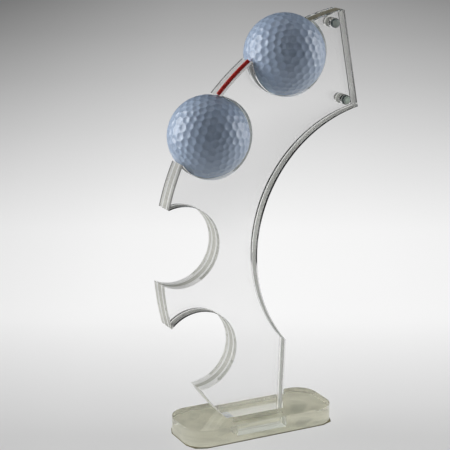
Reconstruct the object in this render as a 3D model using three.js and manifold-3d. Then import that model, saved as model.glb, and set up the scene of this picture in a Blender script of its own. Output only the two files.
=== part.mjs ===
// A golf ball display stand. A crescent upright of three clear acrylic sheets stands in a slotted
// acrylic foot. Four round notches along its outer edge each hold a golf ball, and two are filled.
// Sizes are millimetres, +Z is up, the front of the stand faces -Y, and the origin is the centre of
// the underside of the foot.
import * as THREE from "three";
import { mergeVertices } from "three/addons/utils/BufferGeometryUtils.js";
import Module from "manifold-3d";

const wasm = await Module();
wasm.setup();

// The balls, and the notches that hold them
const BALL_DIAMETER = 42.67;
const DIMPLE_DEPTH = 0.25;
const DIMPLES_PER_FACE_EDGE = 6;
const UPPER_BALL_FORWARD = 0.3;
const UPPER_BALL_TURN_DEGREES = 23;
const LOWER_BALL_FORWARD = -0.9;
const LOWER_BALL_TURN_DEGREES = 63;
const NOTCH_COUNT = 4;
const NOTCH_CLEARANCE = 0.3;
const NOTCH_INSET = 10.05;
const NOTCH_PITCH_DEGREES = 28.8;
const NOTCH_FROM_TOP_CUT = 35.5;

// The upright: a band between an outer and an inner arc, cut off straight at its top
const OUTER_SHEET_THICKNESS = 3.175;
const CORE_SHEET_THICKNESS = 6.35;
const OUTER_RADIUS = 127.85;
const ARC_RISE_SHARE = 0.6997;
const BAND_WIDTH = 50.9;
const INNER_CENTRE_SHIFT = 3.4;
const INNER_CENTRE_DROP = 1.1;
const TOP_CUT_DEGREES = 100.6;

// The tongue of the upright, and the shoulder beside it that sits on the foot
const TONGUE_WIDTH = 30.2;
const SHOULDER_WIDTH = 4.4;
const TONGUE_OFF_CENTRE = 0.9;
const FOOT_EDGE_LEAN_SHARE = 0.034;
const SLOT_CLEARANCE = 0.1;

// The two dowel pins through the top of the upright
const PIN_DIAMETER = 5;
const PIN_CLEARANCE = 0.05;
const PIN_FROM_TOP_CUT = 7;
const PIN_FROM_OUTER_EDGE = 5.35;
const PIN_FROM_INNER_EDGE = 5.75;
const PIN_PROUD = 1.4;

// The red cord in its groove between the two filled notches
const CORD_DIAMETER = 2.2;
const CORD_FORWARD = 2.6;
const CORD_GROOVE_DEPTH = 0.72;
const CORD_GROOVE_CLEARANCE = 0.05;
const CORD_END_GAP = 0.3;

// The foot, and the thin pad under it
const FOOT_LENGTH = 88;
const FOOT_DEPTH = 35;
const FOOT_HEIGHT = 9.5;
const FOOT_CORNER_RADIUS = 11.5;
const FOOT_RIM_CHAMFER = 0.3;
const PAD_THICKNESS = 0.4;
const PAD_CORNER_CUT = 8.5;
const PAD_CUTS_PER_CORNER = 2;

// How far a cutting solid runs past what it cuts, and how finely round shapes are divided
const OVERRUN = 1;
const ARC_STEPS = 10;
const CORD_STEPS = 12;
const CORD_SIDES = 10;

// Sizes that follow from the ones above
const BALL_RADIUS = BALL_DIAMETER / 2;
const NOTCH_RADIUS = BALL_RADIUS + NOTCH_CLEARANCE;
const NOTCH_ARC_RADIUS = OUTER_RADIUS - NOTCH_INSET;
const INNER_RADIUS = OUTER_RADIUS - BAND_WIDTH;
const STACK_THICKNESS = CORE_SHEET_THICKNESS + 2 * OUTER_SHEET_THICKNESS;
const FOOT_TOP = PAD_THICKNESS + FOOT_HEIGHT;
const TONGUE_LEFT = TONGUE_OFF_CENTRE - TONGUE_WIDTH / 2;
const TONGUE_RIGHT = TONGUE_OFF_CENTRE + TONGUE_WIDTH / 2;
const ARC_RISE = OUTER_RADIUS * ARC_RISE_SHARE;
const SHOULDER_LEFT = TONGUE_LEFT - SHOULDER_WIDTH;
const ARC_CENTRE = new THREE.Vector2(
  SHOULDER_LEFT + Math.sqrt(OUTER_RADIUS ** 2 - ARC_RISE ** 2),
  FOOT_TOP + ARC_RISE,
);
const INNER_CENTRE = new THREE.Vector2(
  ARC_CENTRE.x + INNER_CENTRE_SHIFT,
  ARC_CENTRE.y - INNER_CENTRE_DROP,
);
const TOP_CUT = THREE.MathUtils.degToRad(TOP_CUT_DEGREES);
const FIRST_NOTCH = TOP_CUT + Math.asin(NOTCH_FROM_TOP_CUT / NOTCH_ARC_RADIUS);
const NOTCH_PITCH = THREE.MathUtils.degToRad(NOTCH_PITCH_DEGREES);
const CORD_RADIUS = CORD_DIAMETER / 2;
const CORD_ARC_RADIUS = OUTER_RADIUS - CORD_GROOVE_DEPTH + CORD_RADIUS;

// The angle at an arc's centre between a notch's centre line and the tips where it meets the edge
const TIP_ANGLE = Math.acos(
  (NOTCH_ARC_RADIUS ** 2 + OUTER_RADIUS ** 2 - NOTCH_RADIUS ** 2) /
    (2 * NOTCH_ARC_RADIUS * OUTER_RADIUS),
);

const clearAcrylic = {
  color: 0xe6e9e6,
  roughness: 0.05,
  metalness: 0,
  transparent: true,
  opacity: 0.4,
};
const agedAcrylic = {
  color: 0xb0b09b,
  roughness: 0.2,
  metalness: 0,
  transparent: true,
  opacity: 0.8,
};

function onArc(centre, radius, angle) {
  return new THREE.Vector2(
    centre.x + radius * Math.cos(angle),
    centre.y + radius * Math.sin(angle),
  );
}

function notchAngle(index) {
  return FIRST_NOTCH + index * NOTCH_PITCH;
}

function notchCentre(index) {
  return onArc(ARC_CENTRE, NOTCH_ARC_RADIUS, notchAngle(index));
}

function angleFrom(centre, point) {
  return Math.atan2(point.y - centre.y, point.x - centre.x);
}

// A closed solid for joining and cutting, with the vertices that its faces share made one.
function solid(geometry) {
  const bare = geometry.clone();
  bare.deleteAttribute("normal");
  bare.deleteAttribute("uv");
  const merged = mergeVertices(bare);
  return new wasm.Manifold(
    new wasm.Mesh({
      numProp: 3,
      vertProperties: new Float32Array(merged.attributes.position.array),
      triVerts: new Uint32Array(merged.index.array),
    }),
  );
}

function geometryOf(body) {
  const mesh = body.getMesh();
  const geometry = new THREE.BufferGeometry();
  geometry.setAttribute("position", new THREE.BufferAttribute(mesh.vertProperties, 3));
  geometry.setIndex(new THREE.BufferAttribute(mesh.triVerts, 1));
  geometry.computeVertexNormals();
  return geometry;
}

function named(name, geometry, finish) {
  const mesh = new THREE.Mesh(geometry, new THREE.MeshStandardMaterial(finish));
  mesh.name = name;
  return mesh;
}

// An outline drawn in X and Z becomes a plate that reaches back along +Y from the front given.
function plate(outline, front, thickness) {
  const geometry = new THREE.ExtrudeGeometry(outline, {
    depth: thickness,
    bevelEnabled: false,
    curveSegments: ARC_STEPS,
  });
  geometry.rotateX(Math.PI / 2);
  geometry.translate(0, front + thickness, 0);
  return geometry;
}

// Where the straight edge above the tongue runs up into the inner arc.
function innerArcFoot() {
  const lean = FOOT_EDGE_LEAN_SHARE;
  const across = TONGUE_RIGHT - INNER_CENTRE.x;
  const down = FOOT_TOP - INNER_CENTRE.y;
  const a = 1 + lean ** 2;
  const b = across * lean + down;
  const c = across ** 2 + down ** 2 - INNER_RADIUS ** 2;
  const rise = (-b - Math.sqrt(b ** 2 - a * c)) / a;
  return new THREE.Vector2(TONGUE_RIGHT + rise * lean, FOOT_TOP + rise);
}

// Where the line of the top cut leaves the inner arc.
function innerArcTop() {
  const along = onArc(new THREE.Vector2(), 1, TOP_CUT);
  const offset = ARC_CENTRE.clone().sub(INNER_CENTRE);
  const b = offset.dot(along);
  const c = offset.lengthSq() - INNER_RADIUS ** 2;
  return onArc(ARC_CENTRE, -b + Math.sqrt(b ** 2 - c), TOP_CUT);
}

// The outline that all three sheets share, from the top corner round by the notches to the tongue.
function uprightOutline() {
  const outline = new THREE.Shape();
  const topCorner = onArc(ARC_CENTRE, OUTER_RADIUS, TOP_CUT);
  outline.moveTo(topCorner.x, topCorner.y);
  let from = TOP_CUT;
  for (let index = 0; index < NOTCH_COUNT; index++) {
    const angle = notchAngle(index);
    const centre = notchCentre(index);
    outline.absarc(ARC_CENTRE.x, ARC_CENTRE.y, OUTER_RADIUS, from, angle - TIP_ANGLE, false);
    const firstTip = onArc(ARC_CENTRE, OUTER_RADIUS, angle - TIP_ANGLE);
    const secondTip = onArc(ARC_CENTRE, OUTER_RADIUS, angle + TIP_ANGLE);
    outline.absarc(
      centre.x,
      centre.y,
      NOTCH_RADIUS,
      angleFrom(centre, firstTip),
      angleFrom(centre, secondTip),
      true,
    );
    from = angle + TIP_ANGLE;
  }
  const shoulder = new THREE.Vector2(SHOULDER_LEFT, FOOT_TOP);
  const shoulderAngle = angleFrom(ARC_CENTRE, shoulder) + 2 * Math.PI;
  outline.absarc(ARC_CENTRE.x, ARC_CENTRE.y, OUTER_RADIUS, from, shoulderAngle, false);
  outline.lineTo(TONGUE_LEFT, FOOT_TOP);
  outline.lineTo(TONGUE_LEFT, PAD_THICKNESS);
  outline.lineTo(TONGUE_RIGHT - FOOT_HEIGHT * FOOT_EDGE_LEAN_SHARE, PAD_THICKNESS);
  const arcFoot = innerArcFoot();
  const arcTop = innerArcTop();
  outline.lineTo(arcFoot.x, arcFoot.y);
  outline.absarc(
    INNER_CENTRE.x,
    INNER_CENTRE.y,
    INNER_RADIUS,
    angleFrom(INNER_CENTRE, arcFoot),
    angleFrom(INNER_CENTRE, arcTop),
    true,
  );
  outline.closePath();
  return outline;
}

// The centres of the pins, the upper one first, both the same distance in from the top cut.
function pinCentres() {
  const along = onArc(new THREE.Vector2(), 1, TOP_CUT);
  const inward = new THREE.Vector2(-along.y, along.x);
  const innerEnd = innerArcTop().distanceTo(ARC_CENTRE);
  const reaches = [OUTER_RADIUS - PIN_FROM_OUTER_EDGE, innerEnd + PIN_FROM_INNER_EDGE];
  return reaches.map((reach) => {
    const place = onArc(ARC_CENTRE, reach, TOP_CUT);
    return place.addScaledVector(inward, PIN_FROM_TOP_CUT);
  });
}

// The groove for the cord: a curved channel along the outer edge that opens into both notches.
function cordGroove() {
  const start = notchAngle(0);
  const end = notchAngle(1);
  const reach = OUTER_RADIUS + CORD_DIAMETER;
  const floor = OUTER_RADIUS - CORD_GROOVE_DEPTH;
  const outline = new THREE.Shape();
  outline.absarc(ARC_CENTRE.x, ARC_CENTRE.y, reach, start, end, false);
  outline.absarc(ARC_CENTRE.x, ARC_CENTRE.y, floor, end, start, true);
  outline.closePath();
  const halfWidth = CORD_RADIUS + CORD_GROOVE_CLEARANCE;
  return plate(outline, -CORD_FORWARD - halfWidth, 2 * halfWidth);
}

// One of the three sheets, from the place of its front face. The groove crosses the front two.
function sheet(name, front, thickness) {
  const outline = uprightOutline();
  for (const place of pinCentres()) {
    const hole = new THREE.Path();
    hole.absarc(place.x, place.y, PIN_DIAMETER / 2 + PIN_CLEARANCE, 0, 2 * Math.PI, true);
    outline.holes.push(hole);
  }
  const whole = solid(plate(outline, front, thickness));
  return named(name, geometryOf(whole.subtract(solid(cordGroove()))), clearAcrylic);
}

function pin(name, place) {
  const length = STACK_THICKNESS + PIN_PROUD;
  const geometry = new THREE.CylinderGeometry(PIN_DIAMETER / 2, PIN_DIAMETER / 2, length, 2 * ARC_STEPS);
  const mesh = named(name, geometry, { color: 0x9db0aa, roughness: 0.3, metalness: 0 });
  mesh.position.set(place.x, -PIN_PROUD / 2, place.y);
  return mesh;
}

// A ball whose dimples lie on an even triangular grid over the faces of an icosahedron.
function ball(name, index, forward, turnDegrees) {
  const keyOf = (point) => point.clone().normalize().toArray().map((v) => v.toFixed(4)).join();
  const dimples = new THREE.IcosahedronGeometry(BALL_RADIUS, DIMPLES_PER_FACE_EDGE - 1);
  const geometry = new THREE.IcosahedronGeometry(BALL_RADIUS, 2 * DIMPLES_PER_FACE_EDGE - 1);
  const centres = new Set();
  const point = new THREE.Vector3();
  for (let i = 0; i < dimples.attributes.position.count; i++) {
    centres.add(keyOf(point.fromBufferAttribute(dimples.attributes.position, i)));
  }
  const position = geometry.attributes.position;
  for (let i = 0; i < position.count; i++) {
    point.fromBufferAttribute(position, i);
    if (centres.has(keyOf(point))) {
      point.setLength(BALL_RADIUS - DIMPLE_DEPTH);
      position.setXYZ(i, point.x, point.y, point.z);
    }
  }
  const mesh = named(name, geometry, { color: 0xd4dce8, roughness: 0.3, metalness: 0 });
  const centre = notchCentre(index);
  const turn = THREE.MathUtils.degToRad(turnDegrees);
  mesh.position.set(centre.x, -forward, centre.y);
  mesh.rotation.set(turn, 0, turn);
  return mesh;
}

// The line of the cord along the outer edge, from just clear of one notch to just clear of the next.
class CordLine extends THREE.Curve {
  getPoint(share, target = new THREE.Vector3()) {
    const clear = TIP_ANGLE + CORD_END_GAP / OUTER_RADIUS;
    const start = notchAngle(0) + clear;
    const end = notchAngle(1) - clear;
    const place = onArc(ARC_CENTRE, CORD_ARC_RADIUS, start + (end - start) * share);
    return target.set(place.x, -CORD_FORWARD, place.y);
  }
}

function cord() {
  const corners = [];
  for (let side = 0; side < CORD_SIDES; side++) {
    corners.push(onArc(new THREE.Vector2(), CORD_RADIUS, (2 * Math.PI * side) / CORD_SIDES));
  }
  const geometry = new THREE.ExtrudeGeometry(new THREE.Shape(corners), {
    steps: CORD_STEPS,
    extrudePath: new CordLine(),
    bevelEnabled: false,
  });
  return named("retaining_cord", geometry, { color: 0x9c1a14, roughness: 0.6, metalness: 0 });
}

// The oblong that the foot and its pad share, drawn in by an inset, with round corners.
function footOutline(inset, radius) {
  const halfLength = FOOT_LENGTH / 2 - inset;
  const halfDepth = FOOT_DEPTH / 2 - inset;
  const outline = new THREE.Shape();
  const quarter = Math.PI / 2;
  const signs = [
    [1, 1],
    [-1, 1],
    [-1, -1],
    [1, -1],
  ];
  signs.forEach(([sx, sy], corner) => {
    outline.absarc(
      sx * (halfLength - radius),
      sy * (halfDepth - radius),
      radius,
      corner * quarter,
      (corner + 1) * quarter,
      false,
    );
  });
  outline.closePath();
  return outline;
}

// The foot: a rounded block with a slot right through it that takes the tongue of the upright.
function foot() {
  const outline = footOutline(FOOT_RIM_CHAMFER, FOOT_CORNER_RADIUS - FOOT_RIM_CHAMFER);
  const block = new THREE.ExtrudeGeometry(outline, {
    depth: FOOT_HEIGHT - 2 * FOOT_RIM_CHAMFER,
    bevelEnabled: true,
    bevelThickness: FOOT_RIM_CHAMFER,
    bevelSize: FOOT_RIM_CHAMFER,
    bevelSegments: 1,
    curveSegments: ARC_STEPS / 2,
  });
  block.translate(0, 0, PAD_THICKNESS + FOOT_RIM_CHAMFER);
  const slot = new THREE.BoxGeometry(
    TONGUE_WIDTH + 2 * SLOT_CLEARANCE,
    STACK_THICKNESS + 2 * SLOT_CLEARANCE,
    FOOT_HEIGHT + 2 * OVERRUN,
  );
  slot.translate(TONGUE_OFF_CENTRE, 0, PAD_THICKNESS + FOOT_HEIGHT / 2);
  return named("foot_block", geometryOf(solid(block).subtract(solid(slot))), agedAcrylic);
}

// The pad is trimmed with straight cuts, so its corners stand a little outside the round ones above.
function pad() {
  const geometry = new THREE.ExtrudeGeometry(footOutline(0, PAD_CORNER_CUT), {
    depth: PAD_THICKNESS,
    bevelEnabled: false,
    curveSegments: PAD_CUTS_PER_CORNER / 2,
  });
  return named("foot_pad", geometry, { color: 0x76755c, roughness: 0.8, metalness: 0 });
}

const stand = new THREE.Group();
stand.add(foot(), pad());

const upright = new THREE.Group();
const coreFront = -CORE_SHEET_THICKNESS / 2;
upright.add(
  sheet("front_sheet", coreFront - OUTER_SHEET_THICKNESS, OUTER_SHEET_THICKNESS),
  sheet("core_sheet", coreFront, CORE_SHEET_THICKNESS),
  sheet("back_sheet", -coreFront, OUTER_SHEET_THICKNESS),
);
const [upperPin, lowerPin] = pinCentres();
upright.add(pin("upper_pin", upperPin), pin("lower_pin", lowerPin), cord());
stand.add(upright);

stand.add(
  ball("upper_golf_ball", 0, UPPER_BALL_FORWARD, UPPER_BALL_TURN_DEGREES),
  ball("lower_golf_ball", 1, LOWER_BALL_FORWARD, LOWER_BALL_TURN_DEGREES),
);

export default stand;
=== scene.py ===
import math

import bmesh
import bpy
from mathutils import Matrix, Vector
from mathutils.kdtree import KDTree


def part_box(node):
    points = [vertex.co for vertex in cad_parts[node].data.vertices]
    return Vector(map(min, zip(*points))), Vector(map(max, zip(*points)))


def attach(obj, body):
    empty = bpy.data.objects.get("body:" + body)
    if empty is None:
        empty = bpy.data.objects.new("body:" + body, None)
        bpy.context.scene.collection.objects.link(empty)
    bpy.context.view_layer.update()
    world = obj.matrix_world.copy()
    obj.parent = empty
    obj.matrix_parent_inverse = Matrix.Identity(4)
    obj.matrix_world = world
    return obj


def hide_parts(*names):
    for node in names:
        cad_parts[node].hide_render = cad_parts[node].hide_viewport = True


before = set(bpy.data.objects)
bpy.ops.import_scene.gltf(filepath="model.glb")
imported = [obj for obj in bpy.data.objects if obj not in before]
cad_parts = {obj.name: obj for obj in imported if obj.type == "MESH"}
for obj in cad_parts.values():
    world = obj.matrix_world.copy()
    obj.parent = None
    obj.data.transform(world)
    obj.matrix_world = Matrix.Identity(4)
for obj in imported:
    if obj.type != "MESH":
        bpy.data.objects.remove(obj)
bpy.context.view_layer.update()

# Camera
# It stands in front of the stand and a little to its left, and looks slightly down at it. Its
# place, turn and lens come from the fit that also gave sizes along the sheets.
MM = 0.001
CAMERA_PLACE = Vector((-353.5, -662.9, 318.6)) * MM
CAMERA_AZIMUTH = math.radians(26.93)
CAMERA_PITCH = math.radians(15.27)
CAMERA_ROLL = math.radians(-0.22)
CAMERA_LENS = 118.06

look = Vector((
    math.sin(CAMERA_AZIMUTH) * math.cos(CAMERA_PITCH),
    math.cos(CAMERA_AZIMUTH) * math.cos(CAMERA_PITCH),
    -math.sin(CAMERA_PITCH),
))
level = Vector((math.cos(CAMERA_AZIMUTH), -math.sin(CAMERA_AZIMUTH), 0))
down = look.cross(level)
camera_right = level * math.cos(CAMERA_ROLL) + down * math.sin(CAMERA_ROLL)
camera_up = look.cross(camera_right) * -1
camera = bpy.data.objects.new("camera", bpy.data.cameras.new("camera"))
camera.data.lens = CAMERA_LENS
camera.matrix_world = (
    Matrix.Translation(CAMERA_PLACE)
    @ Matrix((camera_right, camera_up, -look)).transposed().to_4x4()
)
bpy.context.collection.objects.link(camera)
bpy.context.scene.camera = camera

# Foot block
# An oblong of cast acrylic with round corners, yellowed with age. A slot is cut right through it
# for the upright, and its underside is glued to the pad, so the glue shows through from above.
CORNER_RADIUS = 11.5 * MM
CORNER_SEGMENTS = 20
RIM_BEVEL = 0.3 * MM
SLOT_WIDTH = 30.4 * MM
SLOT_DEPTH = 12.9 * MM
SLOT_OFF_CENTRE = 0.9 * MM
GLUE_THICKNESS = 0.03 * MM
SHARP_ANGLE = math.radians(20)
RIM_ANGLE = math.radians(60)
ACRYLIC_IOR = 1.49
# How much of a face's normal lies along an axis, for a rough match and for a close one
MOSTLY = 0.5
SQUARELY = 0.9
# The values that a noise pattern mostly keeps to
NOISE_RANGE = (0.3, 0.7)


def tone(red, green, blue):
    """A colour named as it looks on a screen, from 0 to 255, as Blender's own linear colour."""
    values = [v / 255 for v in (red, green, blue)]
    return [((v + 0.055) / 1.055) ** 2.4 if v > 0.04045 else v / 12.92 for v in values] + [1]


def piece_from(bm, name, materials, sharp=SHARP_ANGLE):
    """The finished bmesh as an object whose origin is the world's."""
    mesh = bpy.data.meshes.new(name)
    bm.to_mesh(mesh)
    bm.free()
    mesh.shade_smooth()
    mesh.set_sharp_from_angle(angle=sharp)
    for material in materials:
        mesh.materials.append(material)
    piece = bpy.data.objects.new(name, mesh)
    bpy.context.collection.objects.link(piece)
    return piece


def new_material(name):
    """An empty node material with its shader, and the texture coordinates that patterns follow."""
    material = bpy.data.materials.new(name)
    material.use_nodes = True
    nodes = material.node_tree.nodes
    shader = nodes["Principled BSDF"]
    place = nodes.new("ShaderNodeTexCoord")
    return material, material.node_tree, shader, place.outputs["Object"]


def noise(tree, place, scale, detail=3, stretch=(1, 1, 1)):
    """A noise pattern over the piece, drawn out along the axes that stretch makes small."""
    mapping = tree.nodes.new("ShaderNodeMapping")
    mapping.inputs["Scale"].default_value = stretch
    tree.links.new(place, mapping.inputs["Vector"])
    texture = tree.nodes.new("ShaderNodeTexNoise")
    texture.inputs["Scale"].default_value = scale
    texture.inputs["Detail"].default_value = detail
    tree.links.new(mapping.outputs["Vector"], texture.inputs["Vector"])
    return texture.outputs["Fac"]


def ramp(tree, factor, stops):
    """Colours laid along a factor. Each stop is a position and a colour."""
    node = tree.nodes.new("ShaderNodeValToRGB")
    first, last = node.color_ramp.elements
    first.position, first.color = stops[0]
    last.position, last.color = stops[-1]
    for position, colour in stops[1:-1]:
        node.color_ramp.elements.new(position).color = colour
    tree.links.new(factor, node.inputs["Fac"])
    return node.outputs["Color"]


def rescale(tree, value, from_range=(0, 1), to_range=(0, 1)):
    """A value brought from one range into another, and held at that one's ends."""
    node = tree.nodes.new("ShaderNodeMapRange")
    node.inputs["From Min"].default_value, node.inputs["From Max"].default_value = from_range
    node.inputs["To Min"].default_value, node.inputs["To Max"].default_value = to_range
    tree.links.new(value, node.inputs["Value"])
    return node.outputs["Result"]


def paint(tree, shader, pattern, low, high):
    """Colours a piece from one tone to another by a noise pattern, and gives that colour back."""
    colour = ramp(tree, pattern, [(NOISE_RANGE[0], low), (NOISE_RANGE[1], high)])
    tree.links.new(colour, shader.inputs["Base Color"])
    return colour


def vary_roughness(tree, shader, pattern, low, high):
    """Lets the roughness follow a noise pattern between two limits."""
    roughness = rescale(tree, pattern, NOISE_RANGE, (low, high))
    tree.links.new(roughness, shader.inputs["Roughness"])


def bump(tree, shader, height, distance, strength):
    """Fine relief that is too small to model."""
    node = tree.nodes.new("ShaderNodeBump")
    node.inputs["Distance"].default_value = distance
    node.inputs["Strength"].default_value = strength
    tree.links.new(height, node.inputs["Height"])
    tree.links.new(node.outputs["Normal"], shader.inputs["Normal"])


def connect(tree, value, socket):
    """Gives a socket a plain number, or the value of another node."""
    if isinstance(value, bpy.types.NodeSocket):
        tree.links.new(value, socket)
    else:
        socket.default_value = value


def blend(tree, share, first, second):
    """Two shaders mixed: all the first where the share is 0, and all the second where it is 1."""
    mix = tree.nodes.new("ShaderNodeMixShader")
    connect(tree, share, mix.inputs["Fac"])
    tree.links.new(first, mix.inputs[1])
    tree.links.new(second, mix.inputs[2])
    return mix.outputs["Shader"]


def pass_lamps(tree, shader, tint):
    """Lets the lamps' light straight through clear stock, so that it reaches what lies behind."""
    clear = tree.nodes.new("ShaderNodeBsdfTransparent")
    clear.inputs["Color"].default_value = tint
    shadow_ray = tree.nodes.new("ShaderNodeLightPath").outputs["Is Shadow Ray"]
    mixed = blend(tree, shadow_ray, shader.outputs["BSDF"], clear.outputs["BSDF"])
    tree.links.new(mixed, tree.nodes["Material Output"].inputs["Surface"])


def aged_acrylic():
    material, tree, shader, place = new_material("aged_acrylic")
    paint(tree, shader, noise(tree, place, scale=45), tone(248, 248, 241), tone(252, 252, 247))
    vary_roughness(tree, shader, noise(tree, place, scale=160), 0.03, 0.1)
    shader.inputs["IOR"].default_value = ACRYLIC_IOR
    shader.inputs["Transmission Weight"].default_value = 0.89
    pass_lamps(tree, shader, tone(249, 249, 242))
    return material


def glued_face():
    """The pad and the cloudy glue on it, seen through the block."""
    material, tree, shader, place = new_material("glued_face")
    clouds = ramp(
        tree,
        noise(tree, place, scale=55, detail=4),
        [(0.36, tone(201, 199, 186)), (0.52, tone(221, 219, 205)), (0.66, tone(195, 194, 182))],
    )
    tree.links.new(clouds, shader.inputs["Base Color"])
    shader.inputs["Roughness"].default_value = 0.7
    return material


def rim_edges(bm):
    """The edges where two flat sides meet at a corner."""
    return [e for e in bm.edges if e.is_manifold and e.calc_face_angle() > RIM_ANGLE]


def box_between(low, high):
    """A box between two corners, and its four upright edges."""
    bm = bmesh.new()
    bmesh.ops.create_cube(bm, size=1)
    bmesh.ops.scale(bm, vec=high - low, verts=bm.verts)
    bmesh.ops.translate(bm, vec=(low + high) / 2, verts=bm.verts)
    half_height = (high.z - low.z) / 2
    upright = [e for e in bm.edges if abs(e.verts[0].co.z - e.verts[1].co.z) > half_height]
    return bm, upright


def foot_block():
    low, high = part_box("foot_block")
    low.z += GLUE_THICKNESS
    bm, upright = box_between(low, high)
    bmesh.ops.bevel(
        bm, geom=upright, offset=CORNER_RADIUS, segments=CORNER_SEGMENTS, affect="EDGES",
        profile=0.5, material=-1,
    )
    for sign in (-1, 1):
        for place, normal in (
            (Vector((SLOT_OFF_CENTRE + sign * SLOT_WIDTH / 2, 0, 0)), Vector((1, 0, 0))),
            (Vector((0, sign * SLOT_DEPTH / 2, 0)), Vector((0, 1, 0))),
        ):
            bmesh.ops.bisect_plane(
                bm, geom=bm.verts[:] + bm.edges[:] + bm.faces[:], plane_co=place, plane_no=normal
            )
    over_slot = [
        f
        for f in bm.faces
        if abs(f.normal.z) > MOSTLY
        and abs(f.calc_center_median().x - SLOT_OFF_CENTRE) < SLOT_WIDTH / 2
        and abs(f.calc_center_median().y) < SLOT_DEPTH / 2
    ]
    mouths = [e for f in over_slot for e in f.edges]
    bmesh.ops.delete(bm, geom=over_slot, context="FACES_ONLY")
    bmesh.ops.bridge_loops(bm, edges=mouths)
    bmesh.ops.recalc_face_normals(bm, faces=bm.faces)
    bmesh.ops.bevel(
        bm, geom=rim_edges(bm), offset=RIM_BEVEL, segments=2, affect="EDGES", profile=0.5, material=-1
    )
    for face in bm.faces:
        face.material_index = int(face.normal.z < -SQUARELY)
    return piece_from(bm, "acrylic_foot", [aged_acrylic(), glued_face()])


foot = foot_block()
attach(foot, "stand")
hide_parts("foot_block")

# Foot pad
# A thin sheet of dark olive vinyl under the block. It is trimmed by hand with straight cuts, so its
# corners stand out past the round ones above.
PAD_CORNER_CUT = 8.5 * MM
PAD_EDGE_BEVEL = 0.1 * MM
PAD_GRAIN_HEIGHT = 0.05 * MM


def pad_vinyl():
    material, tree, shader, place = new_material("pad_vinyl")
    grain = noise(tree, place, scale=400, detail=4)
    paint(tree, shader, grain, tone(126, 119, 92), tone(158, 151, 122))
    vary_roughness(tree, shader, noise(tree, place, scale=300), 0.6, 0.8)
    bump(tree, shader, noise(tree, place, scale=1500), PAD_GRAIN_HEIGHT, strength=0.4)
    return material


def foot_pad():
    low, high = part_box("foot_pad")
    bm, upright = box_between(low, high)
    bmesh.ops.bevel(
        bm, geom=upright, offset=PAD_CORNER_CUT, segments=2, affect="EDGES", profile=0.5, material=-1
    )
    top_rim = [e for e in bm.edges if min(v.co.z for v in e.verts) > high.z - PAD_EDGE_BEVEL]
    bmesh.ops.bevel(
        bm, geom=top_rim, offset=PAD_EDGE_BEVEL, segments=2, affect="EDGES", profile=0.5, material=-1
    )
    return piece_from(bm, "vinyl_pad", [pad_vinyl()])


pad = foot_pad()
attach(pad, "stand")
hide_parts("foot_pad")

# Upright
# Three sheets of clear cast acrylic, cut to one outline and stacked. The outer two are polished on
# their edges, and the core keeps the matt face of the saw. The tongue fills the slot in the foot.
# The edges carry painted light and shade: their finishes are lighter where they face the lamps
# and darker elsewhere, and the joint lines between the sheets glow by themselves.
OUTER_RADIUS = 127.85 * MM
ARC_RISE = OUTER_RADIUS * 0.6997
BAND_WIDTH = 50.9 * MM
INNER_CENTRE_SHIFT = 3.4 * MM
INNER_CENTRE_DROP = 1.1 * MM
TOP_CUT = math.radians(100.6)
TONGUE_WIDTH = 30.2 * MM
SHOULDER_WIDTH = 4.4 * MM
EDGE_LEAN_SHARE = 0.034
NOTCH_COUNT = 4
NOTCH_RADIUS = 21.635 * MM
NOTCH_INSET = 10.05 * MM
NOTCH_PITCH = math.radians(28.8)
NOTCH_FROM_TOP_CUT = 35.5 * MM
PIN_HOLE_RADIUS = 2.55 * MM
PIN_HOLE_SEGMENTS = 48
PIN_FROM_TOP_CUT = 7 * MM
PIN_FROM_OUTER_EDGE = 5.35 * MM
PIN_FROM_INNER_EDGE = 5.75 * MM
AIR_GAP = 0.015 * MM
SHEET_BEVEL = 0.12 * MM
CORE_BEVEL = 0.12 * MM
CEMENT_BEVEL = 0.35 * MM
ARC_LINE_WIDTH = 0.6 * MM
NOTCH_LINE_WIDTH = 1.3 * MM
SHADED_RIM_WIDTH = 1.3 * MM
UPTURNED = 0.85
# Towards the lamps. Edges facing this way take lighter finishes: painted light.
LIGHT_FACING_SIDE = Vector((-0.87, 0, 0.5))
SAW_MARK_DEPTH = 0.04 * MM
SAWN_GLOW = 0.36
HAZE_GLOW = 0.4
CEMENT_GLOW = 0.5
# Painted highlight: how brightly the joint lines glow by themselves
ARC_LINE_LIGHT = 0.1
NOTCH_LINE_LIGHT = 0.28
LIT_GLOW = 0.25
ARC_STEP = math.radians(1.5)
# A sheet's finishes, in the order of its material slots
CLEAR, PLAIN_EDGE, LIT_SIDE_EDGE, GLUED, ARC_LINE, LIT_EDGE, SHADED_EDGE, NOTCH_LINE = range(8)

foot_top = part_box("foot_block")[1].z
tongue_left = SLOT_OFF_CENTRE - TONGUE_WIDTH / 2
tongue_right = SLOT_OFF_CENTRE + TONGUE_WIDTH / 2
shoulder_left = tongue_left - SHOULDER_WIDTH
tongue_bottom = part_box("front_sheet")[0].z + AIR_GAP
arc_centre = Vector((
    shoulder_left + math.sqrt(OUTER_RADIUS**2 - ARC_RISE**2),
    0,
    foot_top + ARC_RISE,
))
inner_centre = arc_centre + Vector((INNER_CENTRE_SHIFT, 0, -INNER_CENTRE_DROP))
inner_radius = OUTER_RADIUS - BAND_WIDTH
notch_arc_radius = OUTER_RADIUS - NOTCH_INSET
first_notch = TOP_CUT + math.asin(NOTCH_FROM_TOP_CUT / notch_arc_radius)
tip_angle = math.acos(
    (notch_arc_radius**2 + OUTER_RADIUS**2 - NOTCH_RADIUS**2)
    / (2 * notch_arc_radius * OUTER_RADIUS)
)


def on_arc(centre, radius, angle, y=0.0):
    """A point at an angle on a circle that faces the front, measured from +X towards +Z."""
    return centre + Vector((radius * math.cos(angle), y, radius * math.sin(angle)))


def angle_to(centre, point):
    return math.atan2(point.z - centre.z, point.x - centre.x)


def notch_angle(index):
    return first_notch + index * NOTCH_PITCH


def notch_centre(index):
    return on_arc(arc_centre, notch_arc_radius, notch_angle(index))


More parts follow.
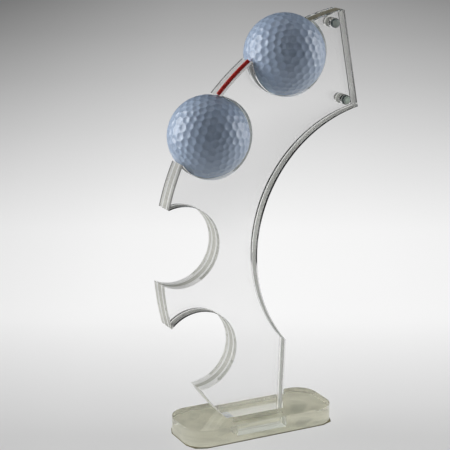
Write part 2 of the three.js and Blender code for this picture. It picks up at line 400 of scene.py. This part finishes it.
def inner_arc_foot():
    """Where the straight edge above the tongue runs up into the inner arc."""
    across = tongue_right - inner_centre.x
    drop = foot_top - inner_centre.z
    a = 1 + EDGE_LEAN_SHARE**2
    b = across * EDGE_LEAN_SHARE + drop
    c = across**2 + drop**2 - inner_radius**2
    rise = (-b - math.sqrt(b**2 - a * c)) / a
    return Vector((tongue_right + rise * EDGE_LEAN_SHARE, 0, foot_top + rise))


def inner_arc_top():
    """Where the line of the top cut leaves the inner arc."""
    along = on_arc(Vector(), 1, TOP_CUT)
    offset = arc_centre - inner_centre
    b = offset.dot(along)
    c = offset.length_squared - inner_radius**2
    return on_arc(arc_centre, -b + math.sqrt(b**2 - c), TOP_CUT)


def pin_places():
    """The centres of the two pins, the upper one first."""
    inward = on_arc(Vector(), 1, TOP_CUT + math.pi / 2)
    inner_end = (inner_arc_top() - arc_centre).length
    reaches = (OUTER_RADIUS - PIN_FROM_OUTER_EDGE, inner_end + PIN_FROM_INNER_EDGE)
    return [on_arc(arc_centre, reach, TOP_CUT) + inward * PIN_FROM_TOP_CUT for reach in reaches]


def place_on_edge(point):
    """Where on the outer edge a point is: above the first notch, beside the cord, or below it.

    A point off that edge, or past the middle of the third notch, is elsewhere.
    """
    reach = math.hypot(point.x - arc_centre.x, point.z - arc_centre.z)
    angle = angle_to(arc_centre, point)
    if reach < OUTER_RADIUS - SHEET_BEVEL or not TOP_CUT < angle < notch_angle(2):
        return "elsewhere"
    if angle < notch_angle(0):
        return "above"
    return "cord" if angle < notch_angle(1) else "below"


def finish_of(face, side, front, back):
    """Which of a sheet's finishes a face takes. The side is 1 before the core and -1 behind it."""
    middle = face.calc_center_median()
    # Faces towards the lamps get lighter finishes, the rest darker: painted light and shade
    faces_light = face.normal.dot(LIGHT_FACING_SIDE) > 0
    hanging = face.normal.z < 0
    under_shoulder = face.normal.z < -SQUARELY and middle.z < foot_top + 2 * AIR_GAP
    if under_shoulder or middle.z < tongue_bottom + SHEET_BEVEL:
        return GLUED
    if abs(face.normal.y) > SQUARELY or middle.z < foot_top:
        return CLEAR
    place = place_on_edge(middle)
    from_bare_side = middle.y - front if side > 0 else back - middle.y
    if side and from_bare_side < SHADED_RIM_WIDTH:
        if place == "below" or place == "cord" and side < 0:
            return SHADED_EDGE
    if place == "cord":
        return LIT_EDGE
    if place == "above":
        return PLAIN_EDGE if side else SHADED_EDGE
    if side and abs(face.normal.y) > MOSTLY:
        if face.normal.y * side < 0 or not faces_light and not (side < 0 and hanging):
            return CLEAR
        return NOTCH_LINE if faces_light else ARC_LINE
    if side == 0 and faces_light and min(middle.y - front, back - middle.y) < NOTCH_LINE_WIDTH:
        return NOTCH_LINE
    if side == 0 and hanging and not faces_light and middle.y > back - ARC_LINE_WIDTH:
        return ARC_LINE
    # Upturned outer walls take the glowing line: a painted reflection of the pale background.
    if side and face.normal.z > UPTURNED:
        return NOTCH_LINE
    return LIT_SIDE_EDGE if faces_light else PLAIN_EDGE


def swing(bm, vert, centre, turn):
    """Draws an arc from a vertex about a centre. A positive turn goes from +X towards +Z."""
    steps = max(2, round(abs(turn) / ARC_STEP))
    made = bmesh.ops.spin(
        bm, geom=[vert], cent=centre, axis=(0, -1, 0), angle=turn, steps=steps, use_duplicate=False
    )
    return next(v for v in made["geom_last"] if isinstance(v, bmesh.types.BMVert))


def line_to(bm, vert, point):
    end = bm.verts.new(point)
    bm.edges.new((vert, end))
    return end


def draw_outline(bm):
    """The outline of the upright, from its top corner down by the notches and back up."""
    vert = bm.verts.new(on_arc(arc_centre, OUTER_RADIUS, TOP_CUT))
    angle = TOP_CUT
    for index in range(NOTCH_COUNT):
        centre = notch_centre(index)
        vert = swing(bm, vert, arc_centre, notch_angle(index) - tip_angle - angle)
        angle = notch_angle(index) + tip_angle
        far_tip = on_arc(arc_centre, OUTER_RADIUS, angle)
        sweep = (angle_to(centre, vert.co) - angle_to(centre, far_tip)) % (2 * math.pi)
        vert = swing(bm, vert, centre, -sweep)
    shoulder = Vector((shoulder_left, 0, foot_top + AIR_GAP))
    shoulder_angle = angle_to(arc_centre, shoulder) % (2 * math.pi)
    vert = swing(bm, vert, arc_centre, shoulder_angle - angle)
    vert = line_to(bm, vert, Vector((tongue_left, 0, foot_top + AIR_GAP)))
    vert = line_to(bm, vert, Vector((tongue_left, 0, tongue_bottom)))
    depth = foot_top - tongue_bottom
    vert = line_to(bm, vert, Vector((tongue_right - depth * EDGE_LEAN_SHARE, 0, tongue_bottom)))
    arc_foot, arc_top = inner_arc_foot(), inner_arc_top()
    vert = line_to(bm, vert, arc_foot)
    sweep = (angle_to(inner_centre, arc_foot) - angle_to(inner_centre, arc_top)) % (2 * math.pi)
    swing(bm, vert, inner_centre, -sweep)
    bmesh.ops.contextual_create(bm, geom=[v for v in bm.verts if len(v.link_edges) == 1])


def clear_acrylic():
    material, tree, shader, place = new_material("clear_acrylic")
    paint(tree, shader, noise(tree, place, scale=30), tone(254, 254, 254), tone(255, 255, 255))
    vary_roughness(tree, shader, noise(tree, place, scale=60, detail=5), 0.0, 0.02)
    shader.inputs["IOR"].default_value = ACRYLIC_IOR
    shader.inputs["Transmission Weight"].default_value = 1
    pass_lamps(tree, shader, tone(250, 251, 248))
    return material


def polished_edge():
    """An outer sheet's edge, buffed almost as clear as the faces."""
    material, tree, shader, place = new_material("polished_edge")
    ripple = noise(tree, place, scale=120, detail=2)
    paint(tree, shader, ripple, tone(248, 250, 246), tone(252, 253, 250))
    vary_roughness(tree, shader, ripple, 0.0, 0.02)
    shader.inputs["IOR"].default_value = ACRYLIC_IOR
    shader.inputs["Transmission Weight"].default_value = 1
    pass_lamps(tree, shader, tone(250, 251, 248))
    return material


def mix_in_glow(tree, shader, colour, share):
    """Adds light that comes through a frosted surface from its far side."""
    glow = tree.nodes.new("ShaderNodeBsdfTranslucent")
    tree.links.new(colour, glow.inputs["Color"])
    mixed = blend(tree, share, shader.outputs["BSDF"], glow.outputs["BSDF"])
    tree.links.new(mixed, tree.nodes["Material Output"].inputs["Surface"])


def lit_side_hazed_edge(name, low, high):
    """An outer sheet's edge where it faces the lamps, on the side of the notches: dulled, with a
    pale tone of painted light, given darker for the front sheet than for the back one.
    """
    material, tree, shader, place = new_material(name)
    haze = noise(tree, place, scale=220, stretch=(1, 0.2, 1))
    colour = paint(tree, shader, haze, low, high)
    vary_roughness(tree, shader, haze, 0.25, 0.35)
    shader.inputs["IOR"].default_value = ACRYLIC_IOR
    shader.inputs["Transmission Weight"].default_value = 0.35
    mix_in_glow(tree, shader, colour, HAZE_GLOW)
    return material


def glowing_cement_line(name, light):
    """The thin white line at the cemented joint where the core meets an outer sheet at the edge. It
    glows by itself as strongly as the light given: a painted highlight.
    """
    material, tree, shader, place = new_material(name)
    grains = noise(tree, place, scale=700, detail=2)
    colour = paint(tree, shader, grains, tone(248, 248, 246), tone(254, 254, 253))
    shader.inputs["Roughness"].default_value = 0.5
    shader.inputs["Emission Color"].default_value = tone(255, 255, 255)
    shader.inputs["Emission Strength"].default_value = light
    mix_in_glow(tree, shader, colour, CEMENT_GLOW)
    return material


def lit_edge():
    """The outer edge beside the cord, painted near white as painted light, and passing some of the
    light from behind it.
    """
    material, tree, shader, place = new_material("lit_edge")
    grains = noise(tree, place, scale=150, detail=2)
    colour = paint(tree, shader, grains, tone(246, 246, 244), tone(252, 252, 250))
    shader.inputs["Roughness"].default_value = 0.4
    mix_in_glow(tree, shader, colour, LIT_GLOW)
    return material


def sawn_edge(name, low, high):
    """The core's cut edge: fine saw marks across the thickness. Some light passes through it. Copies
    in lighter and darker tones are painted light and shade: lighter where the core faces the
    lamps, darker on the rest, and a dark strip of painted shade along the outer sheets' bare rims.
    """
    material, tree, shader, place = new_material(name)
    marks = noise(tree, place, scale=900, stretch=(1, 0.08, 1))
    colour = paint(tree, shader, marks, low, high)
    shader.inputs["Roughness"].default_value = 0.6
    shader.inputs["IOR"].default_value = ACRYLIC_IOR
    bump(tree, shader, marks, SAW_MARK_DEPTH, strength=0.5)
    mix_in_glow(tree, shader, colour, SAWN_GLOW)
    return material


def tongue_glue():
    """The white glue that the tongue's end stands in, seen through the sheets."""
    material, tree, shader, place = new_material("tongue_glue")
    paint(tree, shader, noise(tree, place, scale=300), tone(232, 234, 242), tone(242, 244, 252))
    shader.inputs["Roughness"].default_value = 0.7
    return material


def carve(piece, cutter):
    """Cuts one solid out of another, and clears the cutter away."""
    cut = piece.modifiers.new("cut", "BOOLEAN")
    cut.operation = "DIFFERENCE"
    cut.solver = "EXACT"
    cut.object = cutter
    bpy.context.view_layer.update()
    whole = piece.evaluated_get(bpy.context.evaluated_depsgraph_get())
    piece.data = bpy.data.meshes.new_from_object(whole)
    piece.data.set_sharp_from_angle(angle=SHARP_ANGLE)
    piece.modifiers.clear()
    bpy.data.objects.remove(cutter)


def sheet(name, node, side, finishes):
    low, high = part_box(node)
    bm = bmesh.new()
    draw_outline(bm)
    for place in pin_places():
        turn = Matrix.Translation(place) @ Matrix.Rotation(math.pi / 2, 4, "X")
        bmesh.ops.create_circle(
            bm, segments=PIN_HOLE_SEGMENTS, radius=PIN_HOLE_RADIUS, matrix=turn
        )
    bmesh.ops.triangle_fill(bm, use_beauty=True, use_dissolve=False, edges=bm.edges)
    bmesh.ops.translate(bm, vec=(0, low.y + AIR_GAP, 0), verts=bm.verts)
    thick = bmesh.ops.extrude_face_region(bm, geom=bm.faces[:])
    moved = [v for v in thick["geom"] if isinstance(v, bmesh.types.BMVert)]
    bmesh.ops.translate(bm, vec=(0, high.y - low.y - 2 * AIR_GAP, 0), verts=moved)
    bmesh.ops.recalc_face_normals(bm, faces=bm.faces)
    rims = [e for e in rim_edges(bm) if abs(e.verts[0].co.y - e.verts[1].co.y) < AIR_GAP]
    middle = (low.y + high.y) / 2
    bare = [e for e in rims if (e.verts[0].co.y - middle) * side < 0]
    joined = [e for e in rims if e not in bare]
    joined_offset = CEMENT_BEVEL if side < 0 else CORE_BEVEL
    for edges, offset in ((bare, SHEET_BEVEL), (joined, joined_offset)):
        bmesh.ops.bevel(
            bm, geom=edges, offset=offset, segments=1, affect="EDGES", profile=0.5, material=-1
        )
    lines = {
        1: [low.y + SHADED_RIM_WIDTH],
        0: [low.y + NOTCH_LINE_WIDTH, high.y - NOTCH_LINE_WIDTH, high.y - ARC_LINE_WIDTH],
        -1: [high.y - SHADED_RIM_WIDTH],
    }
    for y in lines[side]:
        bmesh.ops.bisect_plane(
            bm, geom=bm.verts[:] + bm.edges[:] + bm.faces[:], plane_co=(0, y, 0), plane_no=(0, 1, 0)
        )
    for face in bm.faces:
        face.material_index = finish_of(face, side, low.y, high.y)
    return piece_from(bm, name, finishes)


acrylic = clear_acrylic()
polished = polished_edge()
# The sawn edge in lit and shaded copies, and the dark rim strip, are painted light and shade.
sawn_shaded_side = sawn_edge("sawn_edge_shaded_side", tone(166, 166, 165), tone(180, 180, 179))
sawn_lit_side = sawn_edge("sawn_edge_lit_side", tone(216, 216, 209), tone(228, 228, 222))
shaded_sawn_top = sawn_edge("sawn_top_edge_shaded", tone(158, 153, 134), tone(172, 167, 148))
glue = tongue_glue()
# Joint lines that glow by themselves: painted highlights, brighter on the notches' side.
arc_cement_glow = glowing_cement_line("arc_cement_line_painted_glow", ARC_LINE_LIGHT)
notch_cement_glow = glowing_cement_line("notch_cement_line_painted_glow", NOTCH_LINE_LIGHT)
lit = lit_edge()
shaded = sawn_edge("shaded_rim", tone(140, 140, 138), tone(156, 156, 154))
front_lit_side_haze = lit_side_hazed_edge("front_lit_side_hazed_edge", tone(212, 212, 206), tone(222, 222, 217))
back_lit_side_haze = lit_side_hazed_edge("back_lit_side_hazed_edge", tone(236, 236, 230), tone(246, 246, 241))
front_finishes = [acrylic, polished, front_lit_side_haze, glue, arc_cement_glow, lit, shaded, notch_cement_glow]
back_finishes = [acrylic, polished, back_lit_side_haze, glue, arc_cement_glow, lit, shaded, notch_cement_glow]
core_finishes = [acrylic, sawn_shaded_side, sawn_lit_side, glue, arc_cement_glow, lit, shaded_sawn_top, notch_cement_glow]
sheets = {
    "front_sheet": sheet("front_acrylic_sheet", "front_sheet", 1, front_finishes),
    "core_sheet": sheet("core_acrylic_sheet", "core_sheet", 0, core_finishes),
    "back_sheet": sheet("back_acrylic_sheet", "back_sheet", -1, back_finishes),
}
for node, piece in sheets.items():
    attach(piece, "stand")
    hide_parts(node)

# Retaining cord
# A short length of fine red braided cord, laid in a shallow groove along the outer edge between the
# two filled notches.
CORD_RADIUS = 1.1 * MM
CORD_FORWARD = 2.6 * MM
GROOVE_DEPTH = 0.72 * MM
GROOVE_CLEARANCE = 0.05 * MM
CORD_END_GAP = 0.3 * MM
CORD_END_ROUNDING = 0.35 * MM
CORD_SEGMENTS = 28
CORD_STEPS = 60
CORD_SHARP_ANGLE = math.radians(50)
BRAID_TURNS = 7
BRAID_STRANDS = 8
STRAND_HEIGHT = 0.08 * MM

cord_arc_radius = OUTER_RADIUS - GROOVE_DEPTH + CORD_RADIUS
cord_start = notch_angle(0) + tip_angle + CORD_END_GAP / OUTER_RADIUS
cord_sweep = NOTCH_PITCH - 2 * (tip_angle + CORD_END_GAP / OUTER_RADIUS)


def groove_cutter():
    """A solid of the groove's section, swung along the edge from one notch to the next."""
    half_width = CORD_RADIUS + GROOVE_CLEARANCE
    radii = (OUTER_RADIUS - GROOVE_DEPTH, OUTER_RADIUS + CORD_RADIUS)
    bm = bmesh.new()
    corners = [
        bm.verts.new(on_arc(arc_centre, radius, notch_angle(0), -CORD_FORWARD + side * half_width))
        for radius, side in ((radii[0], -1), (radii[1], -1), (radii[1], 1), (radii[0], 1))
    ]
    section = bm.faces.new(corners)
    bmesh.ops.spin(
        bm, geom=[section], cent=arc_centre, axis=(0, -1, 0), angle=NOTCH_PITCH,
        steps=round(NOTCH_PITCH / ARC_STEP) * 2, use_duplicate=False,
    )
    bmesh.ops.recalc_face_normals(bm, faces=bm.faces)
    return piece_from(bm, "groove_cutter", [])


for node in ("front_sheet", "core_sheet"):
    carve(sheets[node], groove_cutter())


def calculate(tree, operation, *values):
    """One step of arithmetic on plain numbers and the values of other nodes."""
    node = tree.nodes.new("ShaderNodeMath")
    node.operation = operation
    for value, socket in zip(values, node.inputs):
        connect(tree, value, socket)
    return node.outputs["Value"]


def red_cord():
    material, tree, shader, _ = new_material("red_cord")
    weave = tree.nodes.new("ShaderNodeUVMap")
    weave.uv_map = "braid"
    split = tree.nodes.new("ShaderNodeSeparateXYZ")
    tree.links.new(weave.outputs["UV"], split.inputs["Vector"])

    def strands(sign):
        """One of the two sets of strands, which cross each other on a slant."""
        slant = calculate(tree, "MULTIPLY_ADD", split.outputs["X"], sign, split.outputs["Y"])
        return calculate(tree, "SINE", slant)

    over = calculate(tree, "MAXIMUM", strands(1), strands(-1))
    # Darker red in the grooves between strands and lighter on their crests: painted shade.
    colour = ramp(tree, over, [(0.0, tone(176, 10, 6)), (1.0, tone(236, 50, 34))])
    tree.links.new(colour, shader.inputs["Base Color"])
    shader.inputs["Roughness"].default_value = 0.42
    bump(tree, shader, over, STRAND_HEIGHT, strength=0.6)
    return material


def cord():
    bm = bmesh.new()
    start = on_arc(arc_centre, cord_arc_radius, cord_start, -CORD_FORWARD)
    face_on = Matrix.Translation(start) @ Matrix.Rotation(-cord_start, 4, "Y")
    disc = bmesh.ops.create_circle(
        bm, cap_ends=True, segments=CORD_SEGMENTS, radius=CORD_RADIUS, matrix=face_on
    )
    first = disc["verts"][0].link_faces[0]
    bmesh.ops.spin(
        bm, geom=[first], cent=arc_centre, axis=(0, -1, 0), angle=cord_sweep, steps=CORD_STEPS,
        use_duplicate=False,
    )
    bmesh.ops.recalc_face_normals(bm, faces=bm.faces)
    bmesh.ops.bevel(
        bm, geom=rim_edges(bm), offset=CORD_END_ROUNDING, segments=4, affect="EDGES", profile=0.5,
        material=-1,
    )
    braid = bm.loops.layers.uv.new("braid")
    for face in bm.faces:
        angles = []
        for loop in face.loops:
            spoke = loop.vert.co - arc_centre
            reach = math.hypot(spoke.x, spoke.z)
            angles.append(math.atan2(loop.vert.co.y + CORD_FORWARD, reach - cord_arc_radius))
        for loop, angle in zip(face.loops, angles):
            if max(angles) - min(angles) > math.pi and angle < 0:
                angle += 2 * math.pi
            along = (angle_to(arc_centre, loop.vert.co) - cord_start) / cord_sweep
            loop[braid].uv = (angle * BRAID_STRANDS, along * BRAID_TURNS * 2 * math.pi)
    return piece_from(bm, "red_cord", [red_cord()], CORD_SHARP_ANGLE)


red = cord()
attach(red, "stand")
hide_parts("retaining_cord")

# Pins
# Two lengths of clear acrylic rod, pushed through the stack to hold the sheets in register. They
# are sawn off a little proud of the front, and the sawn ends are matt.
PIN_SEGMENTS = 56
PIN_END_BEVEL = 0.4 * MM
PIN_PROUD = 1.4 * MM
FLAT_END = 0.98
END_MARK_DEPTH = 0.03 * MM
SAWN_END_GLOW = 0.85


def sawn_end():
    material, tree, shader, place = new_material("sawn_end")
    marks = noise(tree, place, scale=1200)
    colour = paint(tree, shader, marks, tone(232, 242, 240), tone(242, 251, 249))
    shader.inputs["Roughness"].default_value = 0.5
    shader.inputs["IOR"].default_value = ACRYLIC_IOR
    bump(tree, shader, marks, END_MARK_DEPTH, strength=0.5)
    mix_in_glow(tree, shader, colour, SAWN_END_GLOW)
    return material


def pin_rim():
    """The rounded rim of a pin's end, painted with the dim room that a clear one would show."""
    material, tree, shader, place = new_material("pin_rim")
    paint(tree, shader, noise(tree, place, scale=900), tone(88, 98, 98), tone(112, 122, 121))
    shader.inputs["Roughness"].default_value = 0.2
    return material


def pin(name, node, finishes):
    low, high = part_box(node)
    radius = (high.z - low.z) / 2
    lie_down = Matrix.Translation((low + high) / 2) @ Matrix.Rotation(math.pi / 2, 4, "X")
    bm = bmesh.new()
    bmesh.ops.create_cone(
        bm, cap_ends=True, cap_tris=False, segments=PIN_SEGMENTS, radius1=radius, radius2=radius,
        depth=high.y - low.y, matrix=lie_down,
    )
    bmesh.ops.bevel(
        bm, geom=rim_edges(bm), offset=PIN_END_BEVEL, segments=2, affect="EDGES", profile=0.5,
        material=-1,
    )
    bmesh.ops.bisect_plane(
        bm, geom=bm.verts[:] + bm.edges[:] + bm.faces[:], plane_co=(0, low.y + PIN_PROUD, 0),
        plane_no=(0, 1, 0),
    )
    for face in bm.faces:
        if face.calc_center_median().y < low.y + PIN_PROUD:
            face.material_index = 1 if face.normal.y < -FLAT_END else 2
    return piece_from(bm, name, finishes)


pin_finishes = [acrylic, sawn_end(), pin_rim()]
for node in ("upper_pin", "lower_pin"):
    dowel = pin(node.replace("pin", "acrylic_pin"), node, pin_finishes)
    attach(dowel, "stand")
    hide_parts(node)

# Golf balls
# Each is a core in a moulded cover of bluish white, with dimples set so close on an even triangular
# grid that they crowd each other into hexagons. The cover has a thin clear coat.
DIMPLE_GRID = 6
DIMPLE_DEPTH = 0.36 * MM
DIMPLE_SPAN = 0.94
NEIGHBOURS = 6
SAME_PLACE = 0.01
BALL_SUBDIVISIONS = 7
BALL_SHARP_ANGLE = math.radians(80)
TURN_AXIS = (1, 0.4, 1)
COVER_GRAIN = 0.01 * MM


def ball_cover():
    material, tree, shader, place = new_material("ball_cover")
    tint = noise(tree, place, scale=60, detail=4)
    paint(tree, shader, tint, tone(184, 204, 232), tone(194, 213, 239))
    vary_roughness(tree, shader, noise(tree, place, scale=300), 0.32, 0.42)
    shader.inputs["Coat Weight"].default_value = 0.35
    shader.inputs["Coat Roughness"].default_value = 0.06
    bump(tree, shader, noise(tree, place, scale=2500, detail=2), COVER_GRAIN, strength=0.3)
    return material


def dimple_grid():
    """The dimples' centres on a unit sphere, an icosahedron divided evenly, and their radii."""
    bm = bmesh.new()
    bmesh.ops.create_icosphere(bm, subdivisions=1, radius=1)
    bmesh.ops.subdivide_edges(bm, edges=bm.edges, cuts=DIMPLE_GRID - 1, use_grid_fill=True)
    bmesh.ops.remove_doubles(bm, verts=bm.verts, dist=SAME_PLACE)
    centres = [v.co.normalized() for v in bm.verts]
    bm.free()
    grid = KDTree(len(centres))
    for index, centre in enumerate(centres):
        grid.insert(centre, index)
    grid.balance()
    spans = []
    for centre in centres:
        found = sorted(distance for _, _, distance in grid.find_n(centre, NEIGHBOURS))
        near = [distance for distance in found if distance > SAME_PLACE]
        spans.append(sum(near) / len(near) / 2 * DIMPLE_SPAN)
    return grid, spans


def golf_ball(name, node, turn, finish, grid, spans):
    low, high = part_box(node)
    middle = (low + high) / 2
    radius = max(high - low) / 2
    bm = bmesh.new()
    bmesh.ops.create_icosphere(bm, subdivisions=BALL_SUBDIVISIONS, radius=radius)
    for vert in bm.verts:
        direction = vert.co.normalized()
        _, index, distance = grid.find(direction)
        share = distance / spans[index]
        if share < 1:
            vert.co -= direction * DIMPLE_DEPTH * (1 - share**2)
    bmesh.ops.rotate(bm, matrix=Matrix.Rotation(turn, 3, TURN_AXIS), verts=bm.verts)
    bmesh.ops.translate(bm, vec=middle, verts=bm.verts)
    return piece_from(bm, name, [finish], BALL_SHARP_ANGLE)


cover = ball_cover()
dimples, dimple_spans = dimple_grid()
for body, node, turn in (
    ("upper_ball", "upper_golf_ball", math.radians(23)),
    ("lower_ball", "lower_golf_ball", math.radians(63)),
):
    ball = golf_ball("dimpled_" + body, node, turn, cover, dimples, dimple_spans)
    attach(ball, body)
    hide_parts(node)

# Floor
# A plain pale surface without a seam, with a painted pool of light behind the stand that fades
# away. It shows its own tone to the eye and takes the stand's soft shadow. Light that was turned
# round inside a sheet sees an unlit strip in front and to the left, painted dark for it alone.
FLOOR_SIZE = 12
FLOOR_PAINT = tone(222, 222, 222)
SHOWN_SHARE = 0.7
OWN_LIGHT = 1.25
NEAR_TONE = 200
POOL_TONE = 250
FAR_TONE = 110
POOL_FROM = -0.02
POOL_FULL = 0.18
POOL_END = 0.4
FADE_LENGTH = 1.8
FADE_STOPS = 10
FLOOR_NEAREST = -1.0
FLOOR_FARTHEST = 5.0
STRIP_TONES = (
    (-1.0, 250),
    (-0.52, 250),
    (-0.42, 160),
    (-0.34, 70),
    (-0.28, 110),
    (-0.22, 195),
)
LEFT_FADE_WIDTH = 0.45
RIGHT_FADE_WIDTH = 0.75
RIGHT_FADE_END = 0.4
RIGHT_LIT_FROM = 0.6
SIDE_STOP = 0.1
SIDE_REACH = 1
EYE_BACK = 0.95
LIT_FROM = (-0.2, -0.16)
UNLIT_SHARE = 0.03
PLAIN_FROM = -0.14
DARK_REACH = 6


def was_turned(tree, path):
    """1 for light that has been mirrored on its way to the eye, and 0 for any other."""
    return calculate(tree, "MINIMUM", path.outputs["Glossy Depth"], 1)


def floor_tones():
    """The floor's tone at places along the view: the strip in front, the pool, and its fade."""
    stops = list(STRIP_TONES)
    stops += [(PLAIN_FROM, NEAR_TONE), (POOL_FROM, NEAR_TONE), (POOL_FULL, POOL_TONE)]
    for index in range(FADE_STOPS + 1):
        beyond = (FLOOR_FARTHEST - POOL_END) * (index / FADE_STOPS) ** 2
        share = math.exp(-beyond / FADE_LENGTH)
        stops.append((POOL_END + beyond, FAR_TONE + (POOL_TONE - FAR_TONE) * share))
    return stops


def side_fades():
    """How much of the pool's light is left at places across the view."""
    stops = []
    for index in range(round(-SIDE_REACH / SIDE_STOP), round(RIGHT_FADE_END / SIDE_STOP) + 1):
        side = index * SIDE_STOP
        width = LEFT_FADE_WIDTH if side < 0 else RIGHT_FADE_WIDTH
        stops.append((side, 1 / (1 + (side / width) ** 2)))
    return stops + [(RIGHT_LIT_FROM, 1), (SIDE_REACH, 1)]


def floor_colour(tree, along, mirrored):
    """The tone by distance. Only mirrored light sees the strip, and the rest a plain near floor."""
    nearest = calculate(tree, "MULTIPLY_ADD", mirrored, -DARK_REACH, PLAIN_FROM)
    distance = calculate(tree, "MAXIMUM", along, nearest)
    length = FLOOR_FARTHEST - FLOOR_NEAREST
    stops = [((reach - FLOOR_NEAREST) / length, tone(v, v, v)) for reach, v in floor_tones()]
    return ramp(tree, rescale(tree, distance, (FLOOR_NEAREST, FLOOR_FARTHEST)), stops)


def side_fade(tree, across):
    """The share of light that is left by how far to the side a place is."""
    width = 2 * SIDE_REACH
    stops = [((side + SIDE_REACH) / width, [v, v, v, 1]) for side, v in side_fades()]
    return ramp(tree, rescale(tree, across, (-SIDE_REACH, SIDE_REACH)), stops)


def dark_side(tree, across, along, mirrored):
    """1 on the unlit floor to the left, as mirrored light sees it, and 0 elsewhere."""
    bearing = calculate(tree, "DIVIDE", across, calculate(tree, "ADD", along, EYE_BACK))
    return calculate(tree, "MULTIPLY", rescale(tree, bearing, LIT_FROM, (1, 0)), mirrored)


def floor_material():
    material, tree, shader, place = new_material("pale_floor")
    shader.inputs["Base Color"].default_value = FLOOR_PAINT
    shader.inputs["Roughness"].default_value = 0.9
    shader.inputs["Specular IOR Level"].default_value = 0.1
    turned = tree.nodes.new("ShaderNodeMapping")
    turned.inputs["Rotation"].default_value = (0, 0, CAMERA_AZIMUTH)
    tree.links.new(place, turned.inputs["Vector"])
    split = tree.nodes.new("ShaderNodeSeparateXYZ")
    tree.links.new(turned.outputs["Vector"], split.inputs["Vector"])
    across, along = split.outputs["X"], split.outputs["Y"]
    path = tree.nodes.new("ShaderNodeLightPath")
    mirrored = was_turned(tree, path)
    dark = dark_side(tree, across, along, mirrored)
    own = rescale(tree, dark, to_range=(OWN_LIGHT, UNLIT_SHARE * OWN_LIGHT))
    strength = calculate(tree, "MULTIPLY", side_fade(tree, across), own)
    shown = tree.nodes.new("ShaderNodeEmission")
    tree.links.new(floor_colour(tree, along, mirrored), shown.inputs["Color"])
    tree.links.new(strength, shown.inputs["Strength"])
    seen = path.outputs["Is Camera Ray"]
    for name in ("Is Glossy Ray", "Is Transmission Ray"):
        seen = calculate(tree, "MAXIMUM", seen, path.outputs[name])
    share = calculate(tree, "MULTIPLY", seen, rescale(tree, dark, to_range=(SHOWN_SHARE, 1)))
    mixed = blend(tree, share, shader.outputs["BSDF"], shown.outputs["Emission"])
    tree.links.new(mixed, tree.nodes["Material Output"].inputs["Surface"])
    return material


def floor():
    bm = bmesh.new()
    bmesh.ops.create_grid(bm, x_segments=1, y_segments=1, size=FLOOR_SIZE / 2)
    return piece_from(bm, "floor", [floor_material()])


floor()

# Studio light
# A tall soft box on each side, one above and a little behind, and two small lamps high in front.
# The room is dim, so the clear edges pick up dark lines from it.
MIDDLE = Vector((0, 0, 0.12))
PALE_WALL = tone(158, 158, 158)
ROOM_TONES = ((-1.0, 70), (0.0, 40), (0.08, 18), (1.0, 24))
EDGE_BOUNCES = 40


def soft_box(name, place, width, height, power):
    light = bpy.data.lights.new(name, "AREA")
    light.shape = "RECTANGLE"
    light.size = width
    light.size_y = height
    light.energy = power
    lamp = bpy.data.objects.new(name, light)
    lamp.location = place
    lamp.rotation_euler = (MIDDLE - Vector(place)).to_track_quat("-Z", "Y").to_euler()
    lamp.visible_camera = False
    lamp.visible_transmission = False
    bpy.context.collection.objects.link(lamp)


soft_box("left_box", (-0.84, 0.56, 0.40), width=0.75, height=0.9, power=9.2)
soft_box("right_box", (0.96, -0.22, 0.36), width=0.65, height=0.9, power=5.2)
soft_box("top_box", (0.0, 0.25, 1.30), width=0.7, height=0.7, power=0.9)
soft_box("left_lamp", (-0.55, -0.6, 1.0), width=0.015, height=0.015, power=0.38)
soft_box("right_lamp", (0.05, -0.75, 1.0), width=0.015, height=0.015, power=0.38)


def dim_room():
    """A pale wall to the eye and to light straight through a sheet, and a dim room to the rest."""
    world = bpy.data.worlds.new("dim_room")
    world.use_nodes = True
    tree = world.node_tree
    place = tree.nodes.new("ShaderNodeTexCoord")
    split = tree.nodes.new("ShaderNodeSeparateXYZ")
    tree.links.new(place.outputs["Generated"], split.inputs["Vector"])
    lowest = ROOM_TONES[0][0]
    stops = [((z - lowest) / (1 - lowest), tone(v, v, v)) for z, v in ROOM_TONES]
    rise = rescale(tree, split.outputs["Z"], (lowest, 1))
    room = tree.nodes["Background"]
    tree.links.new(ramp(tree, rise, stops), room.inputs["Color"])
    wall = tree.nodes.new("ShaderNodeBackground")
    wall.inputs["Color"].default_value = PALE_WALL
    path = tree.nodes.new("ShaderNodeLightPath")
    through = path.outputs["Is Transmission Ray"]
    straight = calculate(tree, "GREATER_THAN", through, was_turned(tree, path))
    seen = calculate(tree, "MAXIMUM", path.outputs["Is Camera Ray"], straight)
    mixed = blend(tree, seen, room.outputs["Background"], wall.outputs["Background"])
    tree.links.new(mixed, tree.nodes["World Output"].inputs["Surface"])
    return world


bpy.context.scene.world = dim_room()
bpy.context.scene.view_settings.view_transform = "Standard"
bpy.context.scene.cycles.max_bounces = EDGE_BOUNCES
bpy.context.scene.cycles.transmission_bounces = EDGE_BOUNCES
bpy.context.scene.cycles.glossy_bounces = EDGE_BOUNCES
